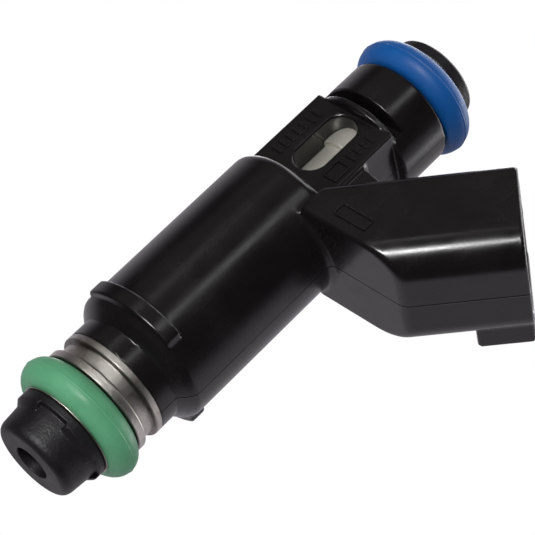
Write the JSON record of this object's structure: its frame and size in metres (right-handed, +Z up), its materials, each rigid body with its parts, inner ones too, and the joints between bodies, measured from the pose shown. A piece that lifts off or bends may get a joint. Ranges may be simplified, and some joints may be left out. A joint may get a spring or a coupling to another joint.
{
  "type": "fuel injector",
  "caption": "Top-feed port fuel injector: slim round body with windowed neck, two O-rings, spray cap and a leaning two-blade connector.",
  "frame": {"origin": "on the injector's axis at the open face of the spray cap", "axes": "+Z up the injector's axis towards the fuel inlet, +X to the side the electrical connector leans to, -Y the side with the raised marks, +Y the side with the latch block"},
  "size_m": [0.0348, 0.0184, 0.0618],
  "materials": {
    "nylon_black": "moulded glass-filled nylon, satin gloss",
    "cap_black": "matt moulded nylon",
    "rubber_green": "fluorocarbon rubber, green",
    "rubber_blue": "fluorocarbon rubber, blue",
    "body_steel": "turned stainless steel",
    "tube_steel": "bright drawn stainless steel",
    "magnet_steel": "magnetic stainless steel",
    "hard_chrome": "polished hardened steel",
    "spring_steel": "spring wire",
    "bobbin_nylon": "nylon",
    "copper_wire": "enamelled copper wire",
    "tin_plate": "tinned copper alloy",
    "brass": "drawn brass",
    "filter_nylon": "nylon"
  },
  "bodies": {
    "injector_body": {"housing": "nylon_black", "spray_cap": "cap_black", "lower_o_ring": "rubber_green", "upper_o_ring": "rubber_blue", "o_ring_retainer": "cap_black", "valve_body": "body_steel", "non_magnetic_shell": "tube_steel", "pole_piece": "tube_steel", "inlet_tube": "tube_steel", "valve_seat": "hard_chrome", "ball_guide": "magnet_steel", "director_plate": "tube_steel", "adjusting_tube": "tube_steel", "coil_bobbin": "bobbin_nylon", "coil_winding": "copper_wire", "coil_can": "magnet_steel", "flux_washer": "magnet_steel", "terminal_left": "tin_plate", "terminal_right": "tin_plate", "filter_collar": "brass", "filter_frame": "filter_nylon", "filter_screen": "filter_nylon", "return_spring": "spring_steel"},
    "valve_needle": {"armature": "magnet_steel", "needle_tube": "tube_steel", "valve_ball": "hard_chrome"}
  },
  "joints": [
    {"name": "needle_lift", "type": "slide", "parent": "injector_body", "child": "valve_needle", "axis": [0, 0, 1], "range_m": [0, 0.00009], "stiffness_N_per_m": 1070, "deforming": ["return_spring"]}
  ]
}
